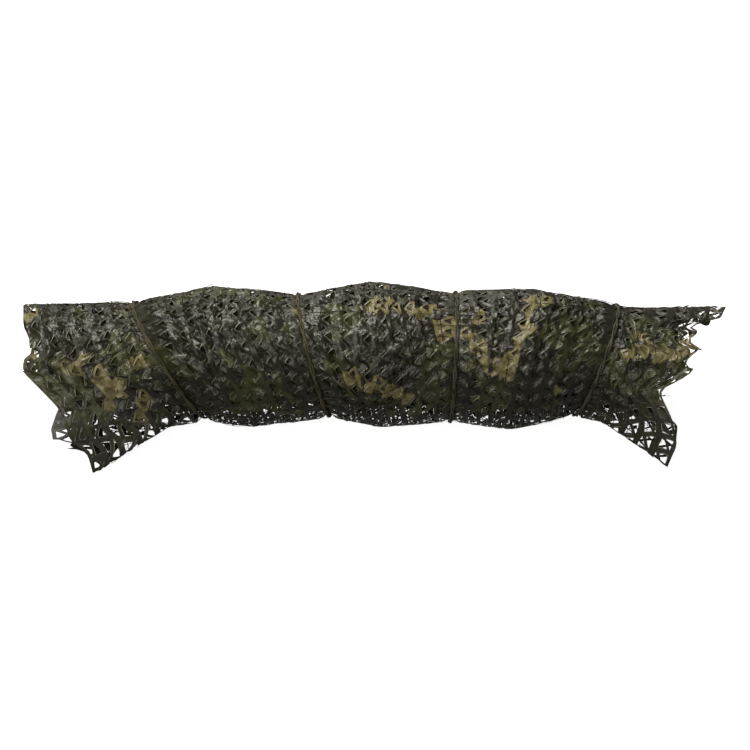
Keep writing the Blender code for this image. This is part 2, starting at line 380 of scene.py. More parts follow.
def stretch(form, column, row):
    """How far the cells are drawn out on a form, along the roll and round it: the lengths
    of a cell there over those of the flat cloth."""
    along = form(column + 0.5, row) - form(column - 0.5, row)
    round_it = form(column, row + 0.5) - form(column, row - 0.5)
    lengths = (
        np.linalg.norm(along, axis=-1) / CELL_LENGTH,
        np.linalg.norm(round_it, axis=-1) / CELL_GIRTH,
    )
    return [np.clip(length, LEAST_STRETCH, MOST_STRETCH) for length in lengths]


# -------------------------------------------------------------- patches of the camouflage
# Where the larger patches lie on the outer turn: kind, place along the roll, angle round
# it, half length, half width in degrees, and slant (degrees per metre).  Tan and olive
# are colours of the cloth; the faded patch is wear and painted light, made paler for the
# petal that lies in shade; the dull, dark patches on the skirts are painted shade; brown
# is for leaves turned over.
PATCH_KINDS = ("tan", "olive", "faded_and_painted_light", "brown", "dull_painted_shade")
TAN_KIND, BROWN_KIND = PATCH_KINDS.index("tan"), PATCH_KINDS.index("brown")
PATCHES = (
    ("tan", -0.720, 178, 0.042, 13, 0),
    ("tan", -0.750, 162, 0.032, 9, 0),
    ("tan", -0.645, 194, 0.028, 10, 0),
    ("tan", -0.650, 158, 0.034, 7, -120),
    ("tan", -0.815, 158, 0.036, 8, 0),
    ("tan", -0.930, 146, 0.022, 8, 0),
    ("olive", -0.855, 172, 0.110, 19, 0),
    ("olive", -0.770, 192, 0.050, 10, 0),
    ("tan", -0.965, 100, 0.020, 12, 0),
    # Faded cloth, made paler still as painted light on the petal that lies in the roll's shade.
    ("faded_and_painted_light", -0.900, 248, 0.060, 34, 0),
    ("tan", 0.018, 177, 0.130, 8, 127),
    ("tan", 0.014, 108, 0.035, 8, -60),
    ("tan", 0.128, 108, 0.085, 8, 0),
    ("tan", 0.196, 125, 0.026, 18, 0),
    ("tan", 0.264, 136, 0.050, 11, 450),
    ("tan", 0.330, 158, 0.060, 9, 40),
    ("tan", 0.402, 134, 0.048, 17, -700),
    ("tan", 0.450, 98, 0.050, 9, -200),
    ("tan", 0.760, 146, 0.080, 10, 40),
    ("tan", 0.860, 132, 0.065, 9, -190),
    ("tan", 0.870, 157, 0.050, 8, 60),
    ("tan", -0.300, 330, 0.110, 20, 150),
    ("tan", 0.520, 10, 0.120, 24, -160),
    ("tan", -0.560, 40, 0.090, 22, 130),
    ("olive", -0.315, 174, 0.060, 16, 0),
    ("olive", 0.540, 140, 0.120, 14, 120),
    ("olive", 0.150, 156, 0.060, 8, -100),
    ("olive", 0.110, 200, 0.060, 12, 0),
    ("olive", -0.450, 84, 0.110, 9, 0),
    ("olive", 0.770, 178, 0.095, 15, 0),
    ("olive", 0.665, 166, 0.040, 22, 0),
    ("olive", 0.150, 350, 0.140, 22, 90),
    ("olive", -0.750, 0, 0.120, 26, -90),
    # These darken the skirts on the floor as painted shade, and dull their shine.
    ("dull_painted_shade", -0.790, 212, 0.190, 24, 0),
    ("dull_painted_shade", 0.760, 212, 0.190, 24, 0),
)
CELL_SHARE = 0.75             # how far a patch keeps to whole cells
PATCH_BREAK, BREAK_MOST, BREAKING = 0.30, 0.5, Ripples(9, 1.3)   # its edge breaks by cells
# Share of a tan patch's leaves that show their brown side: over the top of the second
# turn, elsewhere on the bound roll, and on the open ends.  The top is a middle and a half
# width in angle_at's angles, which run down past 318 only on the second turn.
BROWN_SHARE, SECOND_TOP = (0.80, 0.35, 0.10), (80, 75)


def patch_field(kind, place, angle):
    """1 in the middle of the nearest patch of a kind, falling through 0 at its edge: one
    less the distance from the middle, in half lengths and half widths."""
    field = np.full(place.shape, -1.0)
    for name, x, at, half_length, half_angle, slant in PATCHES:
        if name == kind:
            du = (place - x) / half_length
            dv = turned_from(angle - at, slant * (place - x)) / half_angle
            field = np.maximum(field, 1 - np.hypot(du, dv))
    return field


def leaf_tints(tints, base, draw):
    """The tints of leaves: some of those in a tan patch are brown instead, by chance."""
    tints = tints.copy()
    over_top, elsewhere, open_end = BROWN_SHARE
    top = np.abs(angle_at(*base.T) - SECOND_TOP[0]) < SECOND_TOP[1]
    share = np.where(in_bound(base[:, 0]), np.where(top, over_top, elsewhere), open_end)
    turned = draw.random(len(tints)) < share
    tints[:, BROWN_KIND] = np.where(turned, tints[:, TAN_KIND], -1.0)
    tints[:, TAN_KIND] = np.where(turned, -1.0, tints[:, TAN_KIND])
    return tints


def plain_tints(points):
    """No patches on any of the points."""
    return np.full((len(points), len(PATCH_KINDS)), -1.0)


def patch_fields(points):
    """The field of each kind at points of the roll."""
    angle = np.degrees(np.arctan2(points[:, 2] - AXIS_HEIGHT, points[:, 1]))
    return np.stack([patch_field(kind, points[:, 0], angle) for kind in PATCH_KINDS], -1)


def cell_tints(points, cells):
    """The patch fields at the middle of each half cell, broken up from cell to cell."""
    broken = np.clip(PATCH_BREAK * BREAKING(cells[:, 0], cells[:, 1]), -BREAK_MOST, BREAK_MOST)
    return patch_fields(points) + broken[:, None]


# ------------------------------------------------------------- the leaf-cut openwork
# Half a cell holds one hole with its leaf.  Its outline is an arrow: two slanting sides
# that make the zigzag between the holes, and a straight side down the solid band.
ARROW_TIP, ARROW_HEEL = 0.72, 0.28
ZIGZAG_SIDES, HEEL_SIDES, BAND_SIDES = 3, 2, 4
HOLE_TIP, HOLE_BASE, HOLE_HALF, HOLE_CENTRE = 0.585, 0.180, 0.350, 0.310
HOLE_SHARPNESS = 9.0
EDGE_BAND, EDGE_MOST = 0.0030, 0.4       # cut edge round a hole: width, most of the strip
EDGE_DULL, EDGE_TOP = 0.45, 0.1          # its paleness but on the side up to this row, whose edges are fully pale as painted highlight
BAND_LIFT, ZIGZAG_LIFT = 0.0010, -0.0012
HOLE_TILT, HOLE_CURL = 0.0034, 0.0016
HOLE_RISE = 0.0036            # most that a hole's edge stands above the cloth
# The slanting strips are twisted: they sink at the holes that point right, rise at the rest.
STRIP_SINK, STRIP_RISE = -0.0046, 0.0036
# How near a tie the strips and the leaves lie flat, and over what distance they get free.
STRIP_CLEAR, LEAF_CLEAR, TIE_CLEAR = 0.008, 0.010, 0.024
LEAF_LEAST = 0.05             # share of a leaf's bend that is left at a tie
HALF_AREA = 0.5 * CELL_LENGTH * CELL_GIRTH

# Leaves of the holes that point right and left: length and half width in cells, share
# that stand up, share worn away under the roll.  Lifts, curls and twists are in degrees.
NEAR_LEAF = dict(length=0.385, half=0.315, standing=0.36, worn=1.0)
FAR_LEAF = dict(length=0.345, half=0.300, standing=0.22, worn=0.50)
LENGTH_SPREAD, HALF_SPREAD = (0.85, 1.12), (0.9, 1.05)
STANDING_LIFT, STANDING_CURL = (2.0, 24.0), (-20.0, 45.0)
SUNK_LIFT, SUNK_CURL = (-56.0, -12.0), (-30.0, 30.0)
FLAT_LIFT, OPEN_LIFT = (-12.0, 3.0), (-88.0, -62.0)
LEAF_TWIST = (-14.0, 17.0)    # mean and spread
OPEN_SHARE = (0.09, 0.26)     # leaves that gape: on the bound roll, on the open ends
FLAT_SIDE, FLAT_STANDING = (190.0, 36.0), 0.85   # low front, where so many fewer stand up
LEAF_TAPER, TAPER_POWER, LEAF_CUP = 0.74, 1.7, 0.0014
LOST_LEAF = 0.12              # what is left of a leaf that is torn away
# Where a leaf's points lie along it and across it, on a fine piece and on a plain one.
FINE_GRID = (0, 0.5, 0.88, 1.0), (-1, -0.82, 0, 0.82, 1)
PLAIN_GRID = (0, 0.6, 1.0), (-1, 0, 1)

# Where the openwork is drawn out, torn or shut: middle angle and spread, and how much
# wider its holes are there along the roll and round it.
FOOT, FOOT_OPENING, FOOT_COLUMNS = (253.0, 37.0), (0.42, 0.40), (0.8, 2.0)   # under the roll
SKIRT_SIDE, SKIRT_SPREAD = (225.0, 222.0), 23.0   # left and right end, spread on the floor
SKIRT_OPENING = (-0.02, 0.03)
SKIRT_TORN = (3.0, -0.6)      # share of a skirt's leaves that are torn away: slope, start
SKIRT_COLUMNS = 2.5           # columns past the ties over which a skirt begins
DRAWN_OUT, DRAWN_FLAT = (208.0, 42.0), 0.75       # open ends' cloth drawn out flat
FOLD, FOLD_COLUMNS, FOLD_SHUT = (221.5, 4.5), 2.2, 0.35   # fold behind the left skirt
# Where the inner turns end early, and how far the cloth may fray past its ends.
TOP_RIGHT, FLOOR_LEFT = (84.0, 30.0), (243.0, 36.0)
FRAYING = (-0.4, 1.0)
WELD_GRID = 2e5               # steps per metre of the grid on which meeting points are joined


def foot_share(column, row):
    """1 under the roll, 0 elsewhere and at the left rim."""
    first, full = FOOT_COLUMNS
    inside = np.clip((column - first) / (full - first), 0, 1)
    return hump(angle_at(column, row), *FOOT) * inside


def fold_share(column, row):
    """1 in the fold behind the left skirt, where the leaves stay shut."""
    return hump(angle_at(column, row), *FOLD) * np.clip(FOLD_COLUMNS - column, 0, 1)


def skirt_share(column, row):
    """1 on the skirts of the open ends, 0 on the bound roll and in the fold."""
    begun = np.clip(beyond(column) / SKIRT_COLUMNS, 0, 1)
    share = begun * hump(angle_at(column, row), by_end(column, SKIRT_SIDE), SKIRT_SPREAD)
    return share * (1 - fold_share(column, row))


def drawn_out(column, row):
    """1 low on the front of the open ends, 0 on the bound roll."""
    begun = np.clip(beyond(column) / SKIRT_COLUMNS, 0, 1)
    return begun * hump(angle_at(column, row), *DRAWN_OUT)


def run(start, end, sides):
    """Points in even steps from start up to, not reaching, end."""
    t = np.arange(sides)[:, None] / sides
    return np.array(start) + (np.array(end) - np.array(start)) * t


def hole_half():
    """Outline of half a cell and the hole in it, point for point, in cells.

    The hole is a triangle with soft corners: along any direction from its middle it
    reaches the power mean of the reaches of its three sides.
    """
    tip, heel = (ARROW_TIP, 0.0), (ARROW_HEEL, 0.5)
    low_heel, top, bottom = (ARROW_HEEL, -0.5), (0.0, 0.5), (0.0, -0.5)
    outline = np.vstack([
        run(tip, heel, ZIGZAG_SIDES),
        run(heel, top, HEEL_SIDES),
        run(top, bottom, BAND_SIDES),
        run(bottom, low_heel, HEEL_SIDES),
        run(low_heel, tip, ZIGZAG_SIDES),
    ])
    size = np.array([CELL_LENGTH, CELL_GIRTH])
    middle = np.array([HOLE_CENTRE, 0.0])
    towards = unit((outline - middle) * size)
    point = np.array([HOLE_TIP, 0.0]) * size
    corner = np.array([HOLE_BASE, HOLE_HALF]) * size
    side = corner - point
    normal = unit(np.array([side[1], -side[0]]))
    normals = np.array([normal, normal * (1, -1), (-1.0, 0.0)])
    depths = ((np.array([point, point, corner]) - middle * size) * normals).sum(axis=1)
    facing = np.maximum(towards @ normals.T / depths, 0)
    reach = (facing**HOLE_SHARPNESS).sum(axis=1) ** (-1 / HOLE_SHARPNESS)
    hole = middle + towards * reach[:, None] / size
    return outline, hole


def shoelace(points):
    """Area of a closed outline in cells, made square metres: half the sum of each point's
    cross product with the next."""
    x, y = points.T
    area = 0.5 * np.abs(x @ np.roll(y, -1) - y @ np.roll(x, -1))
    return area * CELL_LENGTH * CELL_GIRTH


OUTLINE, HOLE = hole_half()
SIDES = len(OUTLINE)
SLANTING = OUTLINE[:, 0] > 0  # the outline's points that are off the solid band
HOLE_AREA = shoelace(HOLE)


def ring_quads(inner, outer):
    """Quads between two rings of point numbers, for any number of rings at once."""
    return np.stack([outer, np.roll(outer, -1, -1), np.roll(inner, -1, -1), inner], -1)


def rings_of_half(fine):
    """Rings of a half cell from its outline in to its hole: points, lift and paleness.  A
    fine one has a ring more, so that the cut edge is a narrow band."""
    flat = np.zeros(SIDES)
    rings, lifts, pale = [OUTLINE], [np.where(SLANTING, ZIGZAG_LIFT, BAND_LIFT)], [flat]
    if fine:
        across = np.linalg.norm((OUTLINE - HOLE) * (CELL_LENGTH, CELL_GIRTH), axis=1)
        band = np.minimum(EDGE_BAND / across, EDGE_MOST)[:, None]
        rings.append(HOLE + (OUTLINE - HOLE) * band)
        lifts.append(flat)
        pale.append(flat)
    rings.append(HOLE)
    lifts.append(flat)
    pale.append(flat + fine)
    return np.array(rings), np.array(lifts), np.array(pale)


class Pile:
    """Collects the points, quads and per-point values of one mesh."""

    def __init__(self):
        self.points, self.quads, self.cloth, self.pale = [], [], [], []
        self.tints, self.count = [], 0

    def add(self, points, quads, cloth, pale, tints):
        """Adds a stretch of mesh; its tints are partly its cells', partly its points'."""
        self.quads.append(quads.reshape(-1, 4) + self.count)
        self.points.append(points.reshape(-1, 3))
        self.cloth.append(cloth.reshape(-1, 2))
        self.pale.append(pale.reshape(-1))
        shared = np.repeat(tints, len(self.pale[-1]) // len(tints), axis=0)
        self.tints.append(CELL_SHARE * shared + (1 - CELL_SHARE) * patch_fields(self.points[-1]))
        self.count += len(self.points[-1])

    def arrays(self):
        """The whole mesh, one array of each kind."""
        stacks = (self.points, self.quads, self.cloth, self.pale, self.tints)
        return [np.concatenate(stack) for stack in stacks]


def leaf_bends(base, leaf, draw):
    """Lift, curl and twist of each leaf by chance, in degrees: it stands up, sinks, lies
    flat where the roll is calm, or gapes."""
    n = len(base)
    calm = hump(angle_at(*base.T), *FLAT_SIDE) * (1 - skirt_share(*base.T))
    standing = draw.random(n) < leaf["standing"] * (1 - FLAT_STANDING * calm)
    sunk = draw.uniform(*SUNK_LIFT, n) * (1 - calm) + draw.uniform(*FLAT_LIFT, n) * calm
    gaping = draw.random(n) < np.where(in_bound(base[:, 0]), *OPEN_SHARE)
    sunk = np.where(gaping, draw.uniform(*OPEN_LIFT, n), sunk)
    lift = np.where(standing, draw.uniform(*STANDING_LIFT, n), sunk)
    curl = np.where(standing, draw.uniform(*STANDING_CURL, n), draw.uniform(*SUNK_CURL, n))
    return lift, curl, draw.normal(*LEAF_TWIST, n)


def leaf_sizes(base, leaf, draw):
    """Length and half width of each leaf as it was cut; by chance, those under the roll
    and on the skirts are torn away to a stub."""
    n = len(base)
    torn = SKIRT_TORN[0] * skirt_share(*base.T) + SKIRT_TORN[1]
    lost = np.maximum(leaf["worn"] * foot_share(*base.T), torn)
    left = np.where(draw.random(n) < lost, LOST_LEAF, 1.0)
    length = leaf["length"] * CELL_LENGTH * draw.uniform(*LENGTH_SPREAD, n) * left
    return length, leaf["half"] * CELL_GIRTH * draw.uniform(*HALF_SPREAD, n) * left


def leaves(form, base, facing, leaf, draw, fine):
    """Leaves of a set of holes: each runs from its base edge, bending by lift then curl.

    The height over the cloth and the reach across it are the running sums of the sine
    and cosine of the bend; the width tapers to the tip and its two edges are cupped up.
    """
    along, across = (np.array(part) for part in (FINE_GRID if fine else PLAIN_GRID))
    n, rows, columns = len(base), len(along), len(across)
    free = np.clip((tie_distance(base[:, 0]) - LEAF_CLEAR) / TIE_CLEAR, LEAF_LEAST, 1)
    free = free * looseness(angle_at(*base.T))
    lift, curl, twist = leaf_bends(base, leaf, draw)
    lift, curl, twist = lift * free, curl * free, np.radians(twist) * free
    length, half = leaf_sizes(base, leaf, draw)
    area = float((2 * half * length).sum() * (1 - LEAF_TAPER / (TAPER_POWER + 1)))
    drawn_long, drawn_wide = stretch(form, *base.T)
    length, half = length * drawn_long, half * drawn_wide
    middle = (along[1:] + along[:-1]) / 2
    bend = np.radians(lift[:, None] + curl[:, None] * middle)
    piece = np.diff(along) * length[:, None]
    start = np.zeros((n, 1))
    reach = np.hstack([start, np.cumsum(np.cos(bend) * piece, axis=1)])
    height = np.hstack([start, np.cumsum(np.sin(bend) * piece, axis=1)])
    width = half[:, None, None] * (1 - LEAF_TAPER * along[:, None] ** TAPER_POWER) * across
    cup = LEAF_CUP * across**2 * along[:, None] * free[:, None, None]
    slope = width * np.sin(twist)[:, None, None] * along[:, None]
    here, ahead, round_it, out = cloth_frame(form, base[:, 0], base[:, 1])
    points = (
        here[:, None, None]
        + ahead[:, None, None] * (facing * reach)[:, :, None, None]
        + round_it[:, None, None] * (width * np.cos(twist)[:, None, None])[..., None]
        + out[:, None, None] * (height[:, :, None] + cup + slope)[..., None]
    )
    cloth = np.empty((n, rows, columns, 2))
    ahead_cells = (length[:, None] * along / CELL_LENGTH)[..., None]
    cloth[..., 0] = base[:, None, None, 0] + facing * ahead_cells
    cloth[..., 1] = base[:, None, None, 1] + width / CELL_GIRTH
    # Paleness of the cut edges: one side of a leaf is fully pale as painted highlight, its other
    # side and its tip dull.
    edge = np.zeros((n, rows, columns))
    if fine:
        edge[:, :, 0 if facing > 0 else -1] = 1
        edge[:, :, -1 if facing > 0 else 0] = EDGE_DULL
        edge[:, -1] = np.maximum(edge[:, -1], EDGE_DULL)
    number = np.arange(n * rows * columns).reshape(n, rows, columns)
    corners = (number[:, :-1, :-1], number[:, 1:, :-1], number[:, 1:, 1:], number[:, :-1, 1:])
    quads = np.stack(corners if facing > 0 else corners[::-1], -1)
    return points, quads, cloth, edge, area


def kept_cells(cells, facing, ends, draw):
    """The cells whose half that faces this way has its hole between the frayed ends."""
    low, high, fray, floor_cut, top_cut = ends
    angle = angle_at(*cells.T)
    low = low + floor_cut * hump(angle, *FLOOR_LEFT)
    high = high - top_cut * hump(angle, *TOP_RIGHT)
    centre = cells[:, 0] + 0.5 - facing * (0.5 - HOLE_CENTRE)
    fraying = draw.uniform(*FRAYING, (2, len(cells))) * fray
    return cells[(centre > low + fraying[0]) & (centre < high - fraying[1])]


def opened_places(cells, middle, half):
    """Places of the half cells' points on the cloth; all but the outlines are drawn wider
    or closer about their middles, on the skirts, under the roll and in the fold."""
    spot = cells[:, None, None] + half
    opened = np.outer(skirt_share(*middle.T), SKIRT_OPENING)
    opened += np.outer(foot_share(*middle.T), FOOT_OPENING)
    opened -= FOLD_SHUT * fold_share(*middle.T)[:, None]
    spot[:, 1:] += (spot - middle[:, None, None])[:, 1:] * opened[:, None, None]
    return spot


def lifted(form, spot, middle, half, lifts, facing, draw):
    """Points of the half cells, off the form by their rings' lifts.  All but the outlines
    are also tilted and curled by chance and twisted as strips; all lie flat near a tie,
    where the roll is taut and where the cloth is drawn out."""
    n, loose = len(spot), (np.arange(len(lifts)) > 0)[:, None]
    tilt = draw.normal(0, HOLE_TILT, (n, 2))
    off = (half - half.mean(axis=1, keepdims=True)) * 2
    lift = lifts + (tilt[:, None, None] * off).sum(-1) * loose
    lift = lift + SLANTING * loose * (STRIP_SINK if facing > 0 else STRIP_RISE)
    lift += draw.normal(0, HOLE_CURL, (n, 1, SIDES)) * loose
    lift = np.minimum(lift, HOLE_RISE)
    ease = np.clip((tie_distance(spot[..., 0]) - STRIP_CLEAR) / TIE_CLEAR, 0, 1)
    calm = looseness(angle_at(*middle.T)) * (1 - DRAWN_FLAT * drawn_out(*middle.T))
    ease = ease * calm[:, None, None]
    here, _, _, out = cloth_frame(form, spot[..., 0], spot[..., 1])
    return here + out * (lift * ease)[..., None]


def openwork(form, columns, rows, seed, ends, fine, leafy):
    """A stretch of leaf-cut cloth laid on a form, and the flat area of what is left of it.

    columns and rows are first and last cells.  ends gives the lowest and highest column
    kept, how far it frays past them, and how much sooner it ends on the floor at the left
    and over the top right; half cells beyond are left out.
    """
    draw = np.random.default_rng(seed)
    grid = np.meshgrid(np.arange(*columns), np.arange(*rows), indexing="ij")
    cells = np.stack([part.ravel() for part in grid], axis=1)
    rings, lifts, pale = rings_of_half(fine)
    number = np.arange(len(rings) * SIDES).reshape(len(rings), SIDES)
    pile, area = Pile(), 0.0
    for facing, leaf in ((1, NEAR_LEAF), (-1, FAR_LEAF)):
        cell = kept_cells(cells, facing, ends, draw)
        n = len(cell)
        half = rings if facing > 0 else np.stack([1 - rings[..., 0], rings[..., 1] + 0.5], -1)
        middle = cell + half[-1].mean(axis=0)
        spot = opened_places(cell, middle, half)
        points = lifted(form, spot, middle, half, lifts, facing, draw)
        first = np.arange(n)[:, None, None] * number.size + number
        quads = ring_quads(first[:, 1:], first[:, :-1])
        quads = quads if facing > 0 else quads[..., ::-1]
        tints = cell_tints(form(*middle.T), middle)
        # Painted highlight: the slanting edges on one side of the hole are fully pale, the rest
        # dull.
        palest = SLANTING & (OUTLINE[:, 1] * facing < EDGE_TOP)
        edge = pale * np.where(palest, 1, EDGE_DULL)
        pile.add(points, quads, spot, np.broadcast_to(edge, (n, *pale.shape)), tints)
        area += n * (HALF_AREA - HOLE_AREA)
        if leafy:
            base = cell + ((HOLE_BASE, 0.0) if facing > 0 else (1 - HOLE_BASE, 0.5))
            *mesh, leaf_area = leaves(form, base, facing, leaf, draw, fine)
            pile.add(*mesh, leaf_tints(tints, base, draw))
            area += leaf_area
    return pile.arrays(), area


def weld(points, quads, *values):
    """Joins points that lie together, so that the cloth is one sheet."""
    key = np.round(points * WELD_GRID).astype(np.int64)
    _, first, new = np.unique(key, axis=0, return_index=True, return_inverse=True)
    return (points[first], new.ravel()[quads], *(value[first] for value in values))


def new_object(name, data):
    """An object of its own for a mesh, lamp or camera, in the scene."""
    holder = bpy.data.objects.new(name, data)
    bpy.context.scene.collection.objects.link(holder)
    return holder


def make_piece(name, points, faces, cloth, pale, tints, material):
    """One object from arrays: cloth is each point's place on the flat cloth, in cells."""
    mesh = bpy.data.meshes.new(name)
    mesh.from_pydata(points, [], faces)
    corners = np.empty(len(mesh.loops), np.int32)
    mesh.loops.foreach_get("vertex_index", corners)
    flat = cloth * (CELL_LENGTH, CELL_GIRTH)
    layer = mesh.uv_layers.new(name="cloth")
    layer.uv.foreach_set("vector", flat[corners].astype(np.float32).ravel())
    values = {"cut_edge_highlight": pale}
    values.update((f"{kind}_patch", column) for kind, column in zip(PATCH_KINDS, tints.T))
    for key, value in values.items():
        layer = mesh.attributes.new(key, "FLOAT", "POINT")
        layer.data.foreach_set("value", value.astype(np.float32))
    mesh.polygons.foreach_set("use_smooth", np.ones(len(mesh.polygons), bool))
    mesh.materials.append(material)
    mesh.update()
    piece = new_object(name, mesh)
    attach(piece, "root")
    return piece


# --------------------------------------------------------------------- shader maths
class Wire:
    """A socket that can be used in Python expressions; each operator adds a Math node."""

    def __init__(self, tree, socket):
        self.tree, self.socket = tree, socket

    def math(self, operation, *values):
        """A Math node on the values given."""
        settings = dict(operation=operation)
        return self.tree.node("ShaderNodeMath", settings, dict(enumerate(values)))

    def __add__(self, other):
        return self.math("ADD", self, other)

    def __sub__(self, other):
        return self.math("SUBTRACT", self, other)

    def __rsub__(self, other):
        return self.math("SUBTRACT", other, self)

    def __mul__(self, other):
        return self.math("MULTIPLY", self, other)

    __radd__, __rmul__ = __add__, __mul__

    def sine(self):
        """The sine, of radians."""
        return self.math("SINE", self)

    def step(self, at, soft):
        """0 below, 1 above, with a straight ramp `soft` wide."""
        return self.tree.node(
            "ShaderNodeMapRange", dict(clamp=True),
            {"Value": self, "From Min": at - soft / 2, "From Max": at + soft / 2},
        )


# Places of a colour Mix node's own sockets, which share their names with its other kinds'.
MIX_FACTOR, MIX_A, MIX_B, MIX_RESULT = 0, 6, 7, 2


class Tree:
    """Node tree of a new material, with one method that makes any node."""

    def __init__(self, name):
        self.material = bpy.data.materials.new(name)
        self.material.use_nodes = True
        self.shader = self.material.node_tree.nodes["Principled BSDF"]

    def node(self, kind, settings, inputs, out=0):
        """A node of any kind: its settings first, then its sockets' values or links."""
        node = self.material.node_tree.nodes.new(kind)
        for key, value in settings.items():
            setattr(node, key, value)
        for key, value in inputs.items():
            self.feed(node.inputs[key], value)
        return Wire(self, node.outputs[out])

    def feed(self, socket, value):
        """Gives a socket a link or a constant."""
        if isinstance(value, Wire):
            self.material.node_tree.links.new(value.socket, socket)
        elif socket.type == "RGBA":
            socket.default_value = (*value, 1.0)
        else:
            socket.default_value = value

    def set(self, **inputs):
        """Feeds the shader's own sockets."""
        for key, value in inputs.items():
            self.feed(self.shader.inputs[key.replace("_", " ")], value)

    def noise(self, where, scale, detail=2.0, rough=0.5, twist=0.0):
        """Fractal noise, from 0 to 1 and mostly near the middle."""
        inputs = {"Scale": scale, "Detail": detail, "Roughness": rough, "Distortion": twist}
        return self.node("ShaderNodeTexNoise", {}, {"Vector": where, **inputs})

    def mix(self, share, under, over, blend="MIX"):
        """One colour over another, by a share."""
        return self.node(
            "ShaderNodeMix", dict(data_type="RGBA", blend_type=blend),
            {MIX_FACTOR: share, MIX_A: under, MIX_B: over}, out=MIX_RESULT,
        )

    def shade(self, colour, light):
        """A colour times a number, by way of a grey of that number."""
        grey = self.node("ShaderNodeCombineColor", {}, {0: light, 1: light, 2: light})
        return self.mix(1.0, colour, grey, "MULTIPLY")

    def value(self, name):
        """A value that the mesh has at each point."""
        return self.node("ShaderNodeAttribute", dict(attribute_name=name), {}, out="Fac")

    def cloth(self):
        """Place on the flat cloth, in metres along and round."""
        return self.node("ShaderNodeUVMap", dict(uv_map="cloth"), {})

    def split(self, where):
        """The two parts of a place on the cloth."""
        return [
            self.node("ShaderNodeSeparateXYZ", {}, {0: where}, out=part) for part in range(2)
        ]

    def bump(self, height, strength, distance, under=None):
        """A normal that leans with a height, over another normal where one is given."""
        inputs = {"Height": height, "Strength": strength, "Distance": distance}
        if under is not None:
            inputs["Normal"] = under
        return self.node("ShaderNodeBump", {}, inputs)


# ------------------------------------------------------------------------ materials
DARK_OLIVE, OLIVE = (0.0260, 0.0240, 0.0085), (0.062, 0.062, 0.018)
DARK_BROWN, TAN = (0.026, 0.020, 0.012), (0.243, 0.203, 0.080)
LEAF_BROWN = (0.052, 0.038, 0.022)
PALE_EDGE_AND_HIGHLIGHT = (0.400, 0.385, 0.300)
# The first is faded cloth made paler still, as painted light on the petal that lies in shade; the
# second is painted shade for the skirts on the floor.
FADED_AND_PAINTED_LIGHT, PAINTED_SHADE = (0.700, 0.690, 0.650), (0.014, 0.0135, 0.0055)
TWINE_OLIVE, TWINE_TAN = (0.110, 0.098, 0.044), (0.230, 0.190, 0.105)
WEATHERED_OLIVE, WEATHERED_TAN = (0.080, 0.076, 0.034), (0.200, 0.188, 0.140)
THREAD_DARK, THREAD_GREY = (0.032, 0.028, 0.018), (0.085, 0.080, 0.062)
PATCH_RAGGED = 0.5            # how far the patches' edges wander
# Where each kind of patch begins in its field, and how softly.
PATCH_EDGE = {
    "tan": (0.12, 0.06), "olive": (0.10, 0.08), "faded_and_painted_light": (0.10, 0.50), "dull_painted_shade": (0.15, 0.60),
}
FADED_AND_LIGHT_COVER, PAINTED_SHADE_COVER, BROWN_COVER, EDGE_COVER = 0.42, 0.50, 0.85, 0.80
WEAR_LIGHT = 0.5              # how much lighter and darker the cloth is worn
COAT_SHINE, COAT_ROUGH = 0.70, 0.24
MOTTLE_ROUGH, EDGE_ROUGH, SHADE_PATCH_ROUGH = 0.20, 0.10, 0.50   # what each adds to the roughness
WEAVE_PITCH, RIPSTOP_PITCH, WEAVE_SHARE = 0.0016, 0.0080, 0.3
CREASE_BUMP, WEAVE_BUMP = (0.95, 0.0060), (0.22, 0.0004)   # strength and height
PLY_LENGTH, PLY_GIRTH = 0.0065, 0.0052   # one ply of a twine, along it and round it
PLY_BUMP, HAIR_BUMP = (0.8, 0.0010), (0.35, 0.0006)
PLY_PAINTED_SHADING, HAIR_LIGHT, TWINE_LIGHT = 0.18, 0.5, 0.55
TWINE_ROUGH, HAIR_ROUGH = 0.72, 0.2


def weave_height(tree, where):
    """Plain weave with a ripstop grid: the product of the sines of both places on the
    cloth, and the crests of two coarser sines."""
    parts = tree.split(where)
    along, across = ((part * (2 * math.pi / WEAVE_PITCH)).sine() for part in parts)
    coarse = [(part * (2 * math.pi / RIPSTOP_PITCH)).sine() for part in parts]
    rips = [part.step(at=0.97, soft=0.06) for part in coarse]
    return along * across * WEAVE_SHARE + (rips[0] + rips[1])


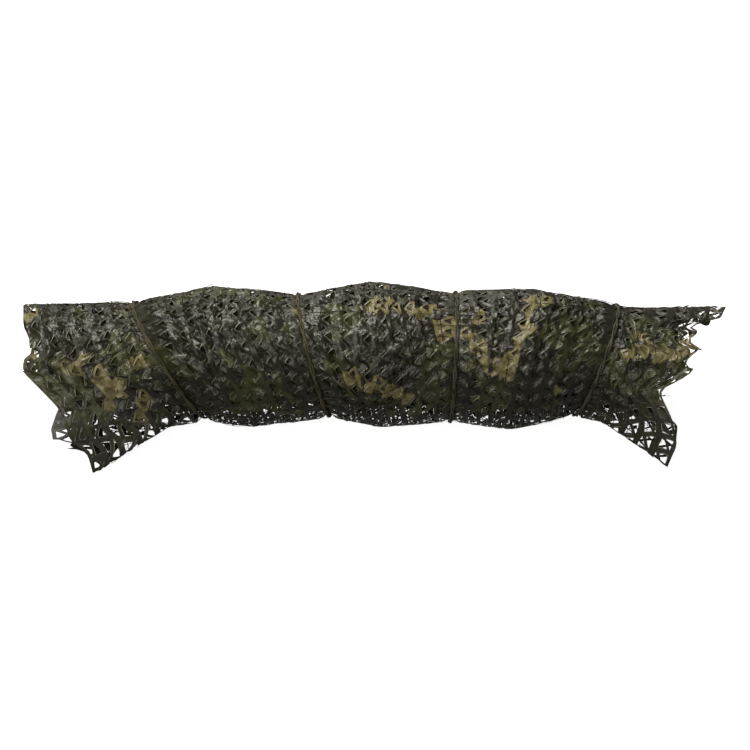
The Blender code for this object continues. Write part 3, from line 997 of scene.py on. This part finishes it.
def camouflage(name, shade=1.0, dirt=0.35):
    """Coated camouflage cloth: dark olive with brown, olive and tan by noises cut off at
    a level, the placed patches over them (among them painted light on a faded patch and
    painted shade on the skirts), then wear, mottling and paler cut edges, partly painted
    highlight; a shade above 1 lightens it all as painted light.

    The shine is dulled by mottling, edges and the painted-shade patches; creases and the
    weave are bumps.
    """
    tree = Tree(name)
    where = tree.cloth()
    wander = tree.noise(where, 22.0, detail=1.2) * PATCH_RAGGED - PATCH_RAGGED / 2
    patch = {
        kind: (tree.value(f"{kind}_patch") + wander).step(*edge)
        for kind, edge in PATCH_EDGE.items()
    }
    turned = tree.value("brown_patch").step(at=0.0, soft=0.10)
    blotch = tree.noise(where, 5.2, detail=2.5, rough=0.55, twist=0.5)
    brown = tree.noise(where, 6.7, twist=0.8)
    fleck = tree.noise(where, 9.0, twist=0.4)
    colour = tree.mix(blotch.step(at=0.57, soft=0.03), DARK_OLIVE, OLIVE)
    colour = tree.mix(brown.step(at=0.62, soft=0.03), colour, DARK_BROWN)
    colour = tree.mix(patch["olive"], colour, OLIVE)
    colour = tree.mix(fleck.step(at=0.735, soft=0.02), colour, TAN)
    colour = tree.mix(patch["tan"], colour, TAN)
    # Faded cloth, made paler still as painted light where the petal lies in shade.
    colour = tree.mix(patch["faded_and_painted_light"] * FADED_AND_LIGHT_COVER, colour, FADED_AND_PAINTED_LIGHT)
    colour = tree.mix(turned * BROWN_COVER, colour, LEAF_BROWN)
    # Painted shade on the skirts that lie on the floor.
    colour = tree.mix(patch["dull_painted_shade"] * PAINTED_SHADE_COVER, colour, PAINTED_SHADE)
    mottle = tree.noise(where, 120.0, detail=4.0, rough=0.65)
    worn = tree.noise(where, 22.0, detail=3.0, rough=0.6)
    # Both noises are 0.5 in the middle, so that the mean light is the shade.
    light = mottle * dirt + worn * WEAR_LIGHT + (1 - 0.5 * (dirt + WEAR_LIGHT))
    # A shade above 1, as on the inner turns and the core, is painted light.
    colour = tree.shade(colour, light * shade)
    # Cut edges are paler, partly as painted highlight where the value is full.
    edge = tree.value("cut_edge_highlight")
    fray = tree.noise(where, 420.0, rough=0.6)
    frayed = (edge * (fray + 0.45)).step(at=0.52, soft=0.5)
    tree.set(Base_Color=tree.mix(frayed * EDGE_COVER, colour, PALE_EDGE_AND_HIGHLIGHT))
    rough = COAT_ROUGH + MOTTLE_ROUGH * mottle + EDGE_ROUGH * edge
    tree.set(Roughness=rough + SHADE_PATCH_ROUGH * patch["dull_painted_shade"], Specular_IOR_Level=COAT_SHINE)
    creased = tree.bump(tree.noise(where, 52.0, detail=1.6, twist=0.3), *CREASE_BUMP)
    tree.set(Normal=tree.bump(weave_height(tree, where), *WEAVE_BUMP, creased))
    return tree.material


def twine_material(name, olive, tan):
    """Twisted twine, hairy and dull: plies as a sine of the place along plus the place
    round, in two colours by a noise."""
    tree = Tree(name)
    where = tree.cloth()
    along, round_it = tree.split(where)
    ply = (along * (2 * math.pi / PLY_LENGTH) + round_it * (2 * math.pi / PLY_GIRTH)).sine()
    hair = tree.noise(where, 700.0, detail=3.0, rough=0.7)
    stain = tree.noise(where, 14.0)
    colour = tree.mix(stain.step(at=0.5, soft=0.16), olive, tan)
    # The plies' crests are painted lighter and their grooves darker, as painted light and shade.
    light = ply * PLY_PAINTED_SHADING + hair * HAIR_LIGHT + TWINE_LIGHT
    tree.set(Base_Color=tree.shade(colour, light), Roughness=TWINE_ROUGH + HAIR_ROUGH * hair)
    tree.set(Normal=tree.bump(ply, *PLY_BUMP, tree.bump(hair, *HAIR_BUMP)))
    return tree.material


net_cloth = camouflage("garnish_net_outer")
# The inner turns and the core are the same cloth made 1.3 times lighter, as painted light that
# makes up for the light their hollows under the outer turn don't get.
inner_cloth_painted_light = camouflage("garnish_net_inner_painted_light", shade=1.30)
core_cloth_painted_light = camouflage("garnish_net_core_painted_light", shade=1.30, dirt=0.5)
laid_twine = twine_material("tie_twine_laid", TWINE_OLIVE, TWINE_TAN)
weathered_twine = twine_material("tie_twine_weathered", WEATHERED_OLIVE, WEATHERED_TAN)
thread_twist = twine_material("backing_thread_twist", THREAD_DARK, THREAD_GREY)


# -------------------------------------------------------------------- the turns of net
def lay_net(name, form, cells, seed, ends, material, fine=False, leafy=True, shift=0.0):
    """One welded openwork piece on a form, and the area of what is left of its cloth; its
    pattern is moved by `shift` rows."""
    (points, quads, cloth, *rest), area = openwork(form, *cells, seed, ends, fine, leafy)
    welded = weld(settle(points), quads, cloth + (0, shift), *rest)
    return make_piece(name, *welded, material), area


# Name, what it rests on, seed, ends as for openwork, fine edges, leaves, material.
TURNS = (
    ("net_outer_turn", "net_second_turn", 20, (0.0, 40.0, 0.42, 0.0, 0.0), True, True, net_cloth),
    ("net_second_turn", "wound_core", 21, (-0.4, 39.3, 0.4, 4.2, 2.6), False, True, inner_cloth_painted_light),
    ("net_third_turn", "wound_core", 22, (0.6, 38.8, 0.6, 4.2, 3.0), False, False, inner_cloth_painted_light),
)
for turn, (name, rests_on, seed, ends, fine, leafy, material) in enumerate(TURNS):
    cells = ((0, COLUMNS), tuple(TURN_STARTS[turn:turn + 2]))
    piece, area = lay_net(name, cloth_at, cells, seed, ends, material, fine, leafy)
    if name == "net_outer_turn":
        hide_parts("net_roll")


# ------------------------------------------------------------------------ wound core
CORE_COLUMNS = (2.2, 37.0)
CORE_KEPT, CORE_FLOOR = 0.2, 0.010       # share of the rim's outline kept, lowest height
CORE_UNDER = 2.6 * WIND_GROWTH
CORE_RINGS, CORE_POINTS = 150, 150
# Rings that close its ends: share of the last ring, and how far each stands out.
CORE_END = ((0.93, 0.006), (0.82, 0.004), (0.60, -0.004), (0.35, -0.008), (0.12, -0.010))
CORE_BUMPS, CORE_FOLDS = Ripples(31, 1.1), Ripples(32, 3.2)
CORE_BUMP, CORE_FOLD, CORE_CELL = 0.0022, 0.0025, 12.0   # heights, and degrees in a cell
CORE_SHIFT = 3.0              # rows by which its pattern is moved


def wound_core():
    """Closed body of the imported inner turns: the roll's form less the slack and the turns
    outside it, uneven with leaves, its ends closed by rings that shrink to the middle."""
    columns = np.linspace(*CORE_COLUMNS, CORE_RINGS)
    angles = np.arange(CORE_POINTS) * 360.0 / CORE_POINTS
    column, angle = np.meshgrid(columns, angles, indexing="ij")
    along, radius = roll_form(column, angle, CORE_KEPT)
    row = angle / CORE_CELL
    uneven = CORE_BUMP * CORE_BUMPS(column, row) + CORE_FOLD * CORE_FOLDS(column, row)
    free = 1 - tie_hold(tie_distance(column), SMOOTH_REACH)
    radius = radius - CORE_UNDER - slack(angle, column) + uneven * free
    body = settle(round_axis(along, radius, angle), CORE_FLOOR)
    ends = []
    for ring, outward in ((body[0], -1), (body[-1], 1)):
        middle = ring.mean(axis=0)
        ends.append(np.array([
            middle + (ring - middle) * share + (outward * stand, 0, 0)
            for share, stand in CORE_END
        ]))
    rings = np.concatenate([ends[0][::-1], body, ends[1]])
    number = np.arange(rings.shape[0] * CORE_POINTS).reshape(-1, CORE_POINTS)
    quads = ring_quads(number[:-1], number[1:])[..., ::-1].reshape(-1, 4).tolist()
    caps = [number[0].tolist(), number[-1][::-1].tolist()]
    cloth = np.empty((*rings.shape[:2], 2))
    cloth[..., 0] = rings[..., 0] / CELL_LENGTH
    cloth[..., 1] = angles / 360.0 * TURN_ROWS[0] + CORE_SHIFT
    flat = rings.reshape(-1, 3)
    return flat, quads + caps, cloth.reshape(-1, 2), np.zeros(len(flat)), plain_tints(flat)


core = make_piece("wound_core", *wound_core(), core_cloth_painted_light)


# ------------------------------------------------------------- inner turns at the mouths
COIL_COLUMNS, COIL_ROWS, COIL_PER_TURN = 3, 62, 15.0
COIL_LENGTH, COIL_GIRTH = {"left": 0.044, "right": 0.037}, 0.030   # mean size of a cell
COIL_OUTSIDE, COIL_INSIDE = 0.134, 0.020
COIL_WIDEN = 0.05             # share by which each column outwards is wider
COIL_WAVE, COIL_WAVES = 0.004, 1.5       # its waves: height, and how close they follow
COIL_RAGGED = 0.006           # how uneven its outer edge is
COIL_DROP = 0.006             # how far its axis lies under the roll's
COIL_RIGHT = 0.880            # it doesn't reach further to the right than this
COIL_SHORT, COIL_FOOT = 0.016, 0.050    # how far it stops short of the rim, and at its foot
COIL_FOOT_SIDE = (250.0, 44.0)
COIL_TRIM, COIL_FRAY, COIL_UNCUT = 0.2, 0.6, 9   # its outer edge; its inner one isn't cut
COIL_SEED, COIL_SHIFT = 41, 90.0


def coil_form(outward):
    """Spiral of the inner turns at one end: the radius shrinks evenly with the angle, and
    the cloth runs outwards from the end of the core, leaning as that end does."""
    rim_column = CORE_COLUMNS[0] if outward < 0 else CORE_COLUMNS[1]
    rim_x = RIMS[outward > 0][1]
    probe = np.arange(0, 360, 10.0)
    end_along, end_radius = roll_form(np.full(len(probe), rim_column), probe, CORE_KEPT)
    centre = end_along.mean()
    leaning = end_along * np.cos(np.radians(probe - CROWN_ANGLE))
    lean = leaning.mean() * 2 / end_radius.mean()

    def form(column, row):
        """Points of the spiral at (column, row)."""
        column, row = np.broadcast_arrays(np.asarray(column, float), np.asarray(row, float))
        angle = FREE_EDGE_ANGLE - 360.0 * row / COIL_PER_TURN
        radius = COIL_OUTSIDE + (COIL_INSIDE - COIL_OUTSIDE) * (row / COIL_ROWS)
        out = column if outward > 0 else COIL_COLUMNS - column
        waves = COIL_WAVE * SAG(column * COIL_WAVES, row)
        radius = radius * (1 + COIL_WIDEN * out) + waves
        along = centre + lean * radius * np.cos(np.radians(angle - CROWN_ANGLE))
        reach = np.minimum(at_angle(rim_x, angle), COIL_RIGHT)
        short = COIL_SHORT + COIL_FOOT * hump(angle, *COIL_FOOT_SIDE)
        short = short + COIL_RAGGED * SHIFT_ALONG(0, row)
        along = along + (reach - outward * short - along) * out / COIL_COLUMNS
        return round_axis(along, radius, angle, AXIS_HEIGHT - COIL_DROP)

    return form


for side, outward in (("left", -1), ("right", 1)):
    low, high = (COIL_TRIM, COIL_UNCUT) if outward < 0 else (-COIL_UNCUT, COIL_COLUMNS - COIL_TRIM)
    piece, area = lay_net(
        f"net_inner_turns_{side}", coil_form(outward), ((0, COIL_COLUMNS), (0, COIL_ROWS)),
        COIL_SEED, (low, high, COIL_FRAY, 0, 0), inner_cloth_painted_light, shift=COIL_SHIFT,
    )
    wide, deep = COIL_LENGTH[side] / CELL_LENGTH, COIL_GIRTH / CELL_GIRTH
    area * wide * deep


# ------------------------------------------------------------------- threads and ties
def tubes(paths, out, side, radius, sides):
    """Thin tubes along paths: a circle of `sides` corners in the out and side directions."""
    turn = np.arange(sides) * 2 * math.pi / sides
    circle = (
        np.cos(turn)[:, None] * out[..., None, :] + np.sin(turn)[:, None] * side[..., None, :]
    )
    radius = np.broadcast_to(radius, paths.shape[:-1])[..., None, None]
    return paths[..., None, :] + circle * radius


THREAD_RADIUS, THREAD_UNDER, THREAD_WEAVE = 0.0011, 0.0010, 0.0020
THREAD_SIDES, THREAD_STEPS = 3, 3
THREAD_AT = (0.33, 0.06)      # where in a cell the threads round and along the roll run
THREAD_ENDS = (0.2, 1.2)      # rows and columns by which they stop short
THREAD_WORN = 0.8             # how far the threads under the roll are worn thin
THREAD_TIP = 0.05             # share of the radius that is left at a thread's ends
WEAVING = Ripples(8, 4.5)


def woven(column, row):
    """Points just under the cloth, where the threads weave in and out."""
    return cloth_at(column, row, THREAD_UNDER + THREAD_WEAVE * WEAVING(column, row))


def backing_threads():
    """The square mesh behind the leaves: a thread round the roll through each column of
    holes and one along it through each row, each a thin tube with closed ends."""
    faces, points, cloth, count = [], [], [], 0
    rows, columns = TURN_ROWS[0], COLUMNS
    (at_column, at_row), (row_end, column_end) = THREAD_AT, THREAD_ENDS
    round_rows = np.linspace(row_end, rows - row_end, rows * THREAD_STEPS + 1)
    long_columns = np.linspace(column_end, columns - column_end, columns * THREAD_STEPS + 1)
    round_it_grid = np.meshgrid(np.arange(1, columns - 1) + at_column, round_rows, indexing="ij")
    along_grid = np.meshgrid(np.arange(rows) + at_row, long_columns, indexing="ij")[::-1]
    for lengthwise, (column, row) in enumerate((round_it_grid, along_grid)):
        here, ahead, round_it, out = cloth_frame(woven, column, row)
        radius = THREAD_RADIUS * (1 - THREAD_WORN * foot_share(column, row))
        radius[:, (0, -1)] = THREAD_RADIUS * THREAD_TIP
        rings = tubes(here, out, round_it if lengthwise else ahead, radius, THREAD_SIDES)
        number = count + np.arange(rings[..., 0].size).reshape(rings.shape[:3])
        quads = ring_quads(number[:, :-1], number[:, 1:])
        quads = quads if lengthwise else quads[..., ::-1]
        faces += quads.reshape(-1, 4).tolist()
        faces += number[:, 0].tolist() + number[:, -1, ::-1].tolist()
        points.append(rings.reshape(-1, 3))
        place = np.repeat(np.stack([column, row], -1)[:, :, None], THREAD_SIDES, axis=2)
        cloth.append(place.reshape(-1, 2))
        count += len(points[-1])
    points = settle(np.concatenate(points))
    return points, faces, np.concatenate(cloth), np.zeros(len(points)), plain_tints(points)


threads = make_piece("backing_threads", *backing_threads(), thread_twist)

STRAND_RADIUS, STRAND_SIDES, STRAND_POINTS = 0.0029, 8, 264
STRAND_LENGTH, STRAND_GIRTH = 1.1, 0.0157    # size of its pattern
PAIR_HALF_WIDTH, PAIR_HALF_HEIGHT = 0.0034, 0.0018
PAIR_LIFT = STRAND_RADIUS + PAIR_HALF_HEIGHT + 0.0004   # middle of the pair over the groove
PAIR_TWISTS = (9, 10, 11, 9)
UNEVEN_TWIST, UNEVEN_TIMES = 0.5, 3      # radians, and how often round the roll
KNOT_ANGLE, KNOT_POINTS, KNOT_LENGTH = 20.0, 96, 0.10
KNOT_SIZE, KNOT_LOOP, KNOT_WIDE, KNOT_DEEP = 0.0036, 1.9, 1.5, 0.55
KNOT_STAND, KNOT_STRAND = 0.0025, 0.92   # how far it stands out, how thick its strand is


def tie_column(crown_x, low_x):
    """The column whose place is a tie's."""
    share = ((crown_x + low_x) / 2 - PLACE[0]) / (PLACE[-1] - PLACE[0])
    return LEFT_COLUMNS + BOUND_COLUMNS * share


def tie_middle(column, angle):
    """Middle of the pair of strands: on the roll's form at a tie's column, lifted off it."""
    along, radius = roll_form(np.full(np.shape(angle), column), angle, 1.0)
    return round_axis(along, radius + PAIR_LIFT, angle)


def tie_frame(column, angle):
    """Middle of the pair, and the unit directions along the tie, outwards and across it."""
    ahead = unit(tie_middle(column, angle + 2.0) - tie_middle(column, angle - 2.0))
    turned = np.radians(angle)
    out = np.stack([0 * turned, np.cos(turned), np.sin(turned)], -1)
    out = unit(out - (out * ahead).sum(-1, keepdims=True) * ahead)
    return tie_middle(column, angle), ahead, out, np.cross(ahead, out)


def closed_tube(path, out, side, radius, length):
    """A tube round a closed path: its points, its quads and its places on the cloth."""
    rings = tubes(path, out, side, radius, STRAND_SIDES)
    index = np.arange(rings[..., 0].size).reshape(rings.shape[:2])
    cloth = np.empty((*rings.shape[:2], 2))
    cloth[..., 0] = (np.arange(len(path)) / len(path) * length / CELL_LENGTH)[:, None]
    cloth[..., 1] = np.arange(STRAND_SIDES) / STRAND_SIDES * STRAND_GIRTH / CELL_GIRTH
    quads = ring_quads(index, np.roll(index, -1, 0))
    return rings.reshape(-1, 3), quads.reshape(-1, 4), cloth.reshape(-1, 2)


def strand(column, number, start):
    """One strand round the roll: it circles the middle of the pair on a flat ellipse, from
    a starting angle and a little unevenly."""
    angle = np.arange(STRAND_POINTS) * 360.0 / STRAND_POINTS
    middle, _, out, side = tie_frame(column, angle)
    turned = np.radians(angle)
    swing = turned * PAIR_TWISTS[number] + start
    swing = (swing + UNEVEN_TWIST * np.sin(turned * UNEVEN_TIMES + number))[:, None]
    path = middle + out * (PAIR_HALF_HEIGHT * np.sin(swing))
    path = path + side * (PAIR_HALF_WIDTH * np.cos(swing))
    return closed_tube(path, out, side, STRAND_RADIUS, STRAND_LENGTH)


def knot(column):
    """A plain knot on the back of a tie: a trefoil, which goes twice round its middle while
    its distance from there swings in and out three times."""
    t = np.arange(KNOT_POINTS) * 2 * math.pi / KNOT_POINTS
    frame_at = tie_frame(column, np.full(1, KNOT_ANGLE))
    middle, along, outward, across = (part[0] for part in frame_at)
    reach = KNOT_LOOP + np.cos(3 * t)
    loop = KNOT_SIZE * np.stack([
        reach * np.cos(2 * t) * KNOT_WIDE, reach * np.sin(2 * t), KNOT_DEEP * np.sin(3 * t)
    ], -1)
    path = middle + outward * KNOT_STAND + loop @ np.array([along, across, outward])
    forward = unit(np.roll(path, -1, 0) - np.roll(path, 1, 0))
    up = unit(outward - (forward @ outward)[:, None] * forward)
    return closed_tube(path, up, np.cross(forward, up), STRAND_RADIUS * KNOT_STRAND, KNOT_LENGTH)


def tie_piece(number, crown_x, low_x):
    """Two strands laid round each other in a tie's groove, half a turn apart, and a knot."""
    column = tie_column(crown_x, low_x)
    tubes_of_tie = (strand(column, number, 0.0), strand(column, number, math.pi), knot(column))
    points, quads, cloth = zip(*tubes_of_tie)
    starts = np.cumsum([0, *(len(part) for part in points[:-1])])
    faces = np.concatenate([part + first for part, first in zip(quads, starts)])
    points = settle(np.concatenate(points))
    return points, faces, np.concatenate(cloth), np.zeros(len(points)), plain_tints(points)


TIE_TWINES = (laid_twine, laid_twine, weathered_twine, weathered_twine)
for number, (crown_x, low_x, *_) in enumerate(TIES):
    name, twine = f"twine_tie_{number + 1}", TIE_TWINES[number]
    tie = make_piece(name, *tie_piece(number, crown_x, low_x), twine)
    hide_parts(f"tie_{number + 1}")


# --------------------------------------------------------------------- stage and light
FLOOR_REACH, FLOOR_COLOUR, FLOOR_ROUGH, FLOOR_GLOW = 30.0, (0.80, 0.80, 0.80), 0.9, 0.93
WHITE = (1.0, 1.0, 1.0)
LAMP_COLOUR = (1.0, 0.98, 0.90)
# Name, place, height of the aim point, size, power.
LAMPS = (
    ("top_light", (-0.7, 0.35, 3.1), 0.2, (1.8, 1.3), 64),
    ("back_light", (-0.4, 3.0, 2.0), 0.3, (2.4, 0.9), 16),
    ("front_light", (-1.4, -3.1, 2.5), 0.2, (2.3, 2.3), 41),
)
SKY_STRENGTH = 0.14
CAMERA_ELEVATION, CAMERA_DISTANCE, CAMERA_LENS, CAMERA_SENSOR = 30.0, 5.0, 84.5, 36.0
CAMERA_AIM = (0.0, 0.0, 0.19)
FRAME_SIDE = 750
AIM_PIXEL = (375.2, 356.5)    # where in the frame the aim point is seen


def plain_floor():
    """Pale floor that shines a little of its own, so that it stays even and bright."""
    square = np.array([(-1, -1, 0), (1, -1, 0), (1, 1, 0), (-1, 1, 0)])
    mesh = bpy.data.meshes.new("floor")
    mesh.from_pydata(square * FLOOR_REACH, [], [(0, 1, 2, 3)])
    tree = Tree("pale_floor")
    tree.set(Base_Color=FLOOR_COLOUR, Roughness=FLOOR_ROUGH)
    tree.set(Emission_Color=WHITE, Emission_Strength=FLOOR_GLOW)
    mesh.materials.append(tree.material)
    floor = new_object("floor", mesh)
    floor.visible_diffuse = False
    floor.visible_glossy = False


def area_light(name, place, aim_height, size, power):
    """Soft rectangular lamp at a place, turned to face a point over the roll's middle."""
    lamp = bpy.data.lights.new(name, "AREA")
    lamp.shape = "RECTANGLE"
    lamp.size, lamp.size_y = size
    lamp.energy = power
    lamp.color = LAMP_COLOUR
    holder = new_object(name, lamp)
    holder.location = place
    towards = Vector((0, 0, aim_height)) - Vector(place)
    holder.rotation_euler = towards.to_track_quat("-Z", "Y").to_euler()


def sky(strength):
    """Even white light from all round."""
    world = bpy.data.worlds.new("studio")
    world.use_nodes = True
    inputs = world.node_tree.nodes["Background"].inputs
    inputs["Color"].default_value = (*WHITE, 1.0)
    inputs["Strength"].default_value = strength
    bpy.context.scene.world = world


def camera():
    """Camera in front of the roll, at a distance and an elevation from the aim point; its
    picture is shifted, so that the aim point is seen at its pixel."""
    lens = bpy.data.cameras.new("view")
    lens.lens, lens.sensor_width = CAMERA_LENS, CAMERA_SENSOR
    lens.shift_x = (FRAME_SIDE / 2 - AIM_PIXEL[0]) / FRAME_SIDE
    lens.shift_y = (AIM_PIXEL[1] - FRAME_SIDE / 2) / FRAME_SIDE
    holder = new_object("view", lens)
    tilt = math.radians(CAMERA_ELEVATION)
    holder.location = (
        CAMERA_AIM[0],
        CAMERA_AIM[1] - CAMERA_DISTANCE * math.cos(tilt),
        CAMERA_AIM[2] + CAMERA_DISTANCE * math.sin(tilt),
    )
    holder.rotation_euler = (math.pi / 2 - tilt, 0, 0)
    bpy.context.scene.camera = holder


plain_floor()
for lamp in LAMPS:
    area_light(*lamp)
sky(SKY_STRENGTH)
camera()
bpy.context.scene.view_settings.view_transform = "Standard"
